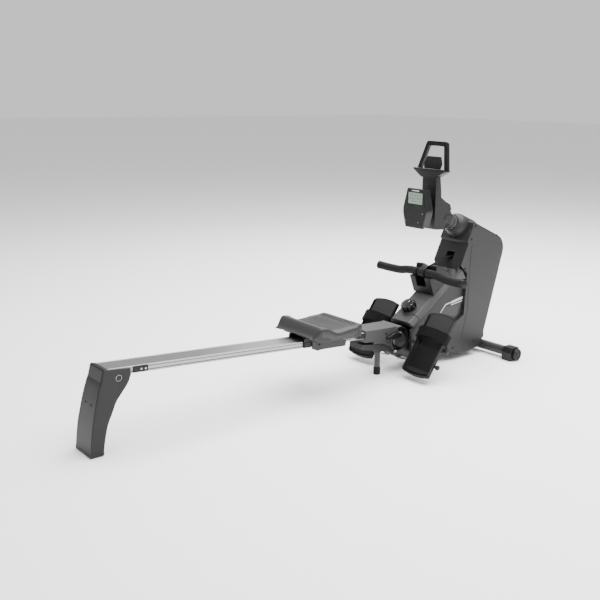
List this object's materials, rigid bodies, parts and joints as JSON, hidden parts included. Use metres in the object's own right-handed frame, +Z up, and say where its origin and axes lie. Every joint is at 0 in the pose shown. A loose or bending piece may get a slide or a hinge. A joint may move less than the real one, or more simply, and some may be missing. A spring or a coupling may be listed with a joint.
{
  "type": "rowing machine",
  "caption": "Folding magnetic rowing machine: a sliding seat on a sloped rail, hinged to a flywheel housing with a pull handle, foot plates, console and tablet holder.",
  "frame": {"origin": "centre of the bounding box on the floor, in the plane of symmetry", "axes": "+X along the machine from the rear foot to the flywheel housing, +Y to the rower's left, +Z up"},
  "size_m": [2.0719, 0.52, 0.9886],
  "materials": {
    "frame_paint": "satin",
    "housing_plastic": "fine grain",
    "boom_plastic": "fine grain",
    "cover_plastic": "fine grain",
    "seat_plastic": "fine grain",
    "black_plastic": "fine grain",
    "rubber": "matte",
    "foam": "matte foam",
    "strap_web": "woven",
    "rail_aluminium": "brushed",
    "bright_steel": "satin",
    "black_steel": "satin",
    "cast_metal": "machined",
    "window": "clear"
  },
  "bodies": {
    "frame": {"main_frame": "frame_paint", "hinge_pin": "bright_steel", "mid_leg": "frame_paint", "mid_leg_foot": "rubber", "stabilizer_tube": "frame_paint", "stabilizer_cap_left": "black_plastic", "stabilizer_cap_right": "black_plastic", "foot_bars": "bright_steel", "crossbar_caps": "black_plastic", "housing_left": "housing_plastic", "housing_right": "housing_plastic", "front_panel": "boom_plastic", "boom_cover": "boom_plastic", "housing_screws": "black_plastic", "neck_shroud": "housing_plastic", "neck_collar": "boom_plastic", "mast": "black_plastic", "tablet_holder": "black_plastic", "tablet_pad": "rubber", "console_front": "black_plastic", "console_back": "black_plastic", "console_window": "window", "handle_cradle": "black_plastic", "tension_cable": "black_steel", "inner_axles": "bright_steel", "drive_belt": "rubber", "recoil_spring": "bright_steel"},
    "rail": {"rail": "rail_aluminium", "hinge_bracket": "bright_steel", "hinge_cover": "cover_plastic", "rear_leg": "housing_plastic", "rear_foot": "rubber", "rail_stops": "black_plastic"},
    "seat": {"seat_pad": "seat_plastic", "seat_carriage": "black_plastic", "seat_skirts": "housing_plastic", "roller_axles": "bright_steel"},
    "roller_top_front": {"rollers_top_front": "rubber"},
    "roller_top_rear": {"rollers_top_rear": "rubber"},
    "roller_low_front": {"rollers_low_front": "rubber"},
    "roller_low_rear": {"rollers_low_rear": "rubber"},
    "handle": {"handle_bar": "black_steel", "grips": "foam", "pull_strap": "strap_web"},
    "reel": {"strap_reel": "black_plastic"},
    "guide_roller": {"strap_roller": "black_plastic"},
    "pulley": {"drive_pulley": "black_plastic"},
    "wheel": {"flywheel": "cast_metal"},
    "knob": {"tension_knob": "black_plastic"},
    "magnets": {"magnet_bracket": "bright_steel"},
    "lock": {"lock_knob": "black_plastic"},
    "foot_left": {"pedal_left": "black_plastic", "foot_strap_left": "strap_web"},
    "foot_right": {"pedal_right": "black_plastic", "foot_strap_right": "strap_web"},
    "press_top": {"button_top": "cover_plastic"},
    "press_middle": {"button_middle": "cover_plastic"},
    "press_side": {"button_side": "cover_plastic"},
    "rolling_left": {"transport_wheel_left": "black_plastic"},
    "rolling_right": {"transport_wheel_right": "black_plastic"}
  },
  "joints": [
    {"name": "rail_fold", "type": "hinge", "parent": "frame", "child": "rail", "pos_m": [0.395, 0, 0.155], "axis": [0, 1, 0], "range_deg": [0, 75]},
    {"name": "seat_slide", "type": "slide", "parent": "rail", "child": "seat", "axis": [0.9978, 0, -0.0658], "range_m": [-0.68, 0.073]},
    {"name": "roller_top_front_turn", "type": "hinge", "parent": "seat", "child": "roller_top_front", "pos_m": [0.0535, 0, 0.23473], "axis": [0, 1, 0], "range_deg": [-3307, 409]},
    {"name": "roller_top_rear_turn", "type": "hinge", "parent": "seat", "child": "roller_top_rear", "pos_m": [-0.06823, 0, 0.24275], "axis": [0, 1, 0], "range_deg": [-3307, 409]},
    {"name": "roller_low_front_turn", "type": "hinge", "parent": "seat", "child": "roller_low_front", "pos_m": [0.0465, 0, 0.18929], "axis": [0, 1, 0], "range_deg": [-658, 5626]},
    {"name": "roller_low_rear_turn", "type": "hinge", "parent": "seat", "child": "roller_low_rear", "pos_m": [-0.05528, 0, 0.196], "axis": [0, 1, 0], "range_deg": [-658, 5626]},
    {"name": "handle_pull", "type": "slide", "parent": "frame", "child": "handle", "axis": [-0.9703, 0, 0.2419], "range_m": [0, 0.95], "stiffness_N_per_m": 15, "springref_m": -1, "deforming": ["pull_strap"]},
    {"name": "reel_turn", "type": "hinge", "parent": "frame", "child": "reel", "pos_m": [0.904, 0, 0.4], "axis": [0, 1, 0], "range_deg": [-1661, 0]},
    {"name": "guide_roller_turn", "type": "hinge", "parent": "frame", "child": "guide_roller", "pos_m": [0.802, 0, 0.462], "axis": [0, 1, 0], "range_deg": [-4596, 0]},
    {"name": "pulley_spin", "type": "hinge", "parent": "frame", "child": "pulley", "pos_m": [0.904, 0, 0.4], "axis": [0, 1, 0], "continuous": true},
    {"name": "flywheel_spin", "type": "hinge", "parent": "frame", "child": "wheel", "pos_m": [0.814, 0, 0.185], "axis": [0, 1, 0], "continuous": true},
    {"name": "knob_turn", "type": "hinge", "parent": "frame", "child": "knob", "pos_m": [0.5101, 0, 0.2578], "axis": [-0.5678, 0, 0.8231], "range_deg": [0, 300]},
    {"name": "magnet_swing", "type": "hinge", "parent": "frame", "child": "magnets", "pos_m": [0.802, 0, 0.318], "axis": [0, 1, 0], "range_deg": [0, 8]},
    {"name": "lock_pull", "type": "slide", "parent": "rail", "child": "lock", "axis": [0, -1, 0], "range_m": [0, 0.012], "stiffness_N_per_m": 800, "springref_m": -0.005},
    {"name": "foot_left_tilt", "type": "hinge", "parent": "frame", "child": "foot_left", "pos_m": [0.47475, 0.1675, 0.13115], "axis": [0, 1, 0], "range_deg": [0, 25]},
    {"name": "foot_right_tilt", "type": "hinge", "parent": "frame", "child": "foot_right", "pos_m": [0.47475, -0.1675, 0.13115], "axis": [0, 1, 0], "range_deg": [0, 25]},
    {"name": "button_top_press", "type": "slide", "parent": "frame", "child": "press_top", "axis": [1, 0, 0], "range_m": [0, 0.0015], "stiffness_N_per_m": 400, "springref_m": -0.001},
    {"name": "button_middle_press", "type": "slide", "parent": "frame", "child": "press_middle", "axis": [1, 0, 0], "range_m": [0, 0.0015], "stiffness_N_per_m": 400, "springref_m": -0.001},
    {"name": "button_side_press", "type": "slide", "parent": "frame", "child": "press_side", "axis": [1, 0, 0], "range_m": [0, 0.0015], "stiffness_N_per_m": 400, "springref_m": -0.001},
    {"name": "transport_left_roll", "type": "hinge", "parent": "frame", "child": "rolling_left", "pos_m": [0.951, 0.254, 0.03], "axis": [0, 1, 0], "continuous": true},
    {"name": "transport_right_roll", "type": "hinge", "parent": "frame", "child": "rolling_right", "pos_m": [0.951, -0.254, 0.03], "axis": [0, 1, 0], "continuous": true}
  ],
  "couplings": [
    {"joint": "roller_top_front_turn", "follows": "seat_slide", "rad_per_m": 83.333},
    {"joint": "roller_top_rear_turn", "follows": "seat_slide", "rad_per_m": 83.333},
    {"joint": "roller_low_front_turn", "follows": "seat_slide", "rad_per_m": -142.86},
    {"joint": "roller_low_rear_turn", "follows": "seat_slide", "rad_per_m": -142.86},
    {"joint": "reel_turn", "follows": "handle_pull", "rad_per_m": -29.412},
    {"joint": "guide_roller_turn", "follows": "handle_pull", "rad_per_m": -83.333},
    {"joint": "flywheel_spin", "follows": "pulley_spin", "ratio": 3.75},
    {"joint": "magnet_swing", "follows": "knob_turn", "ratio": 0.026667}
  ]
}
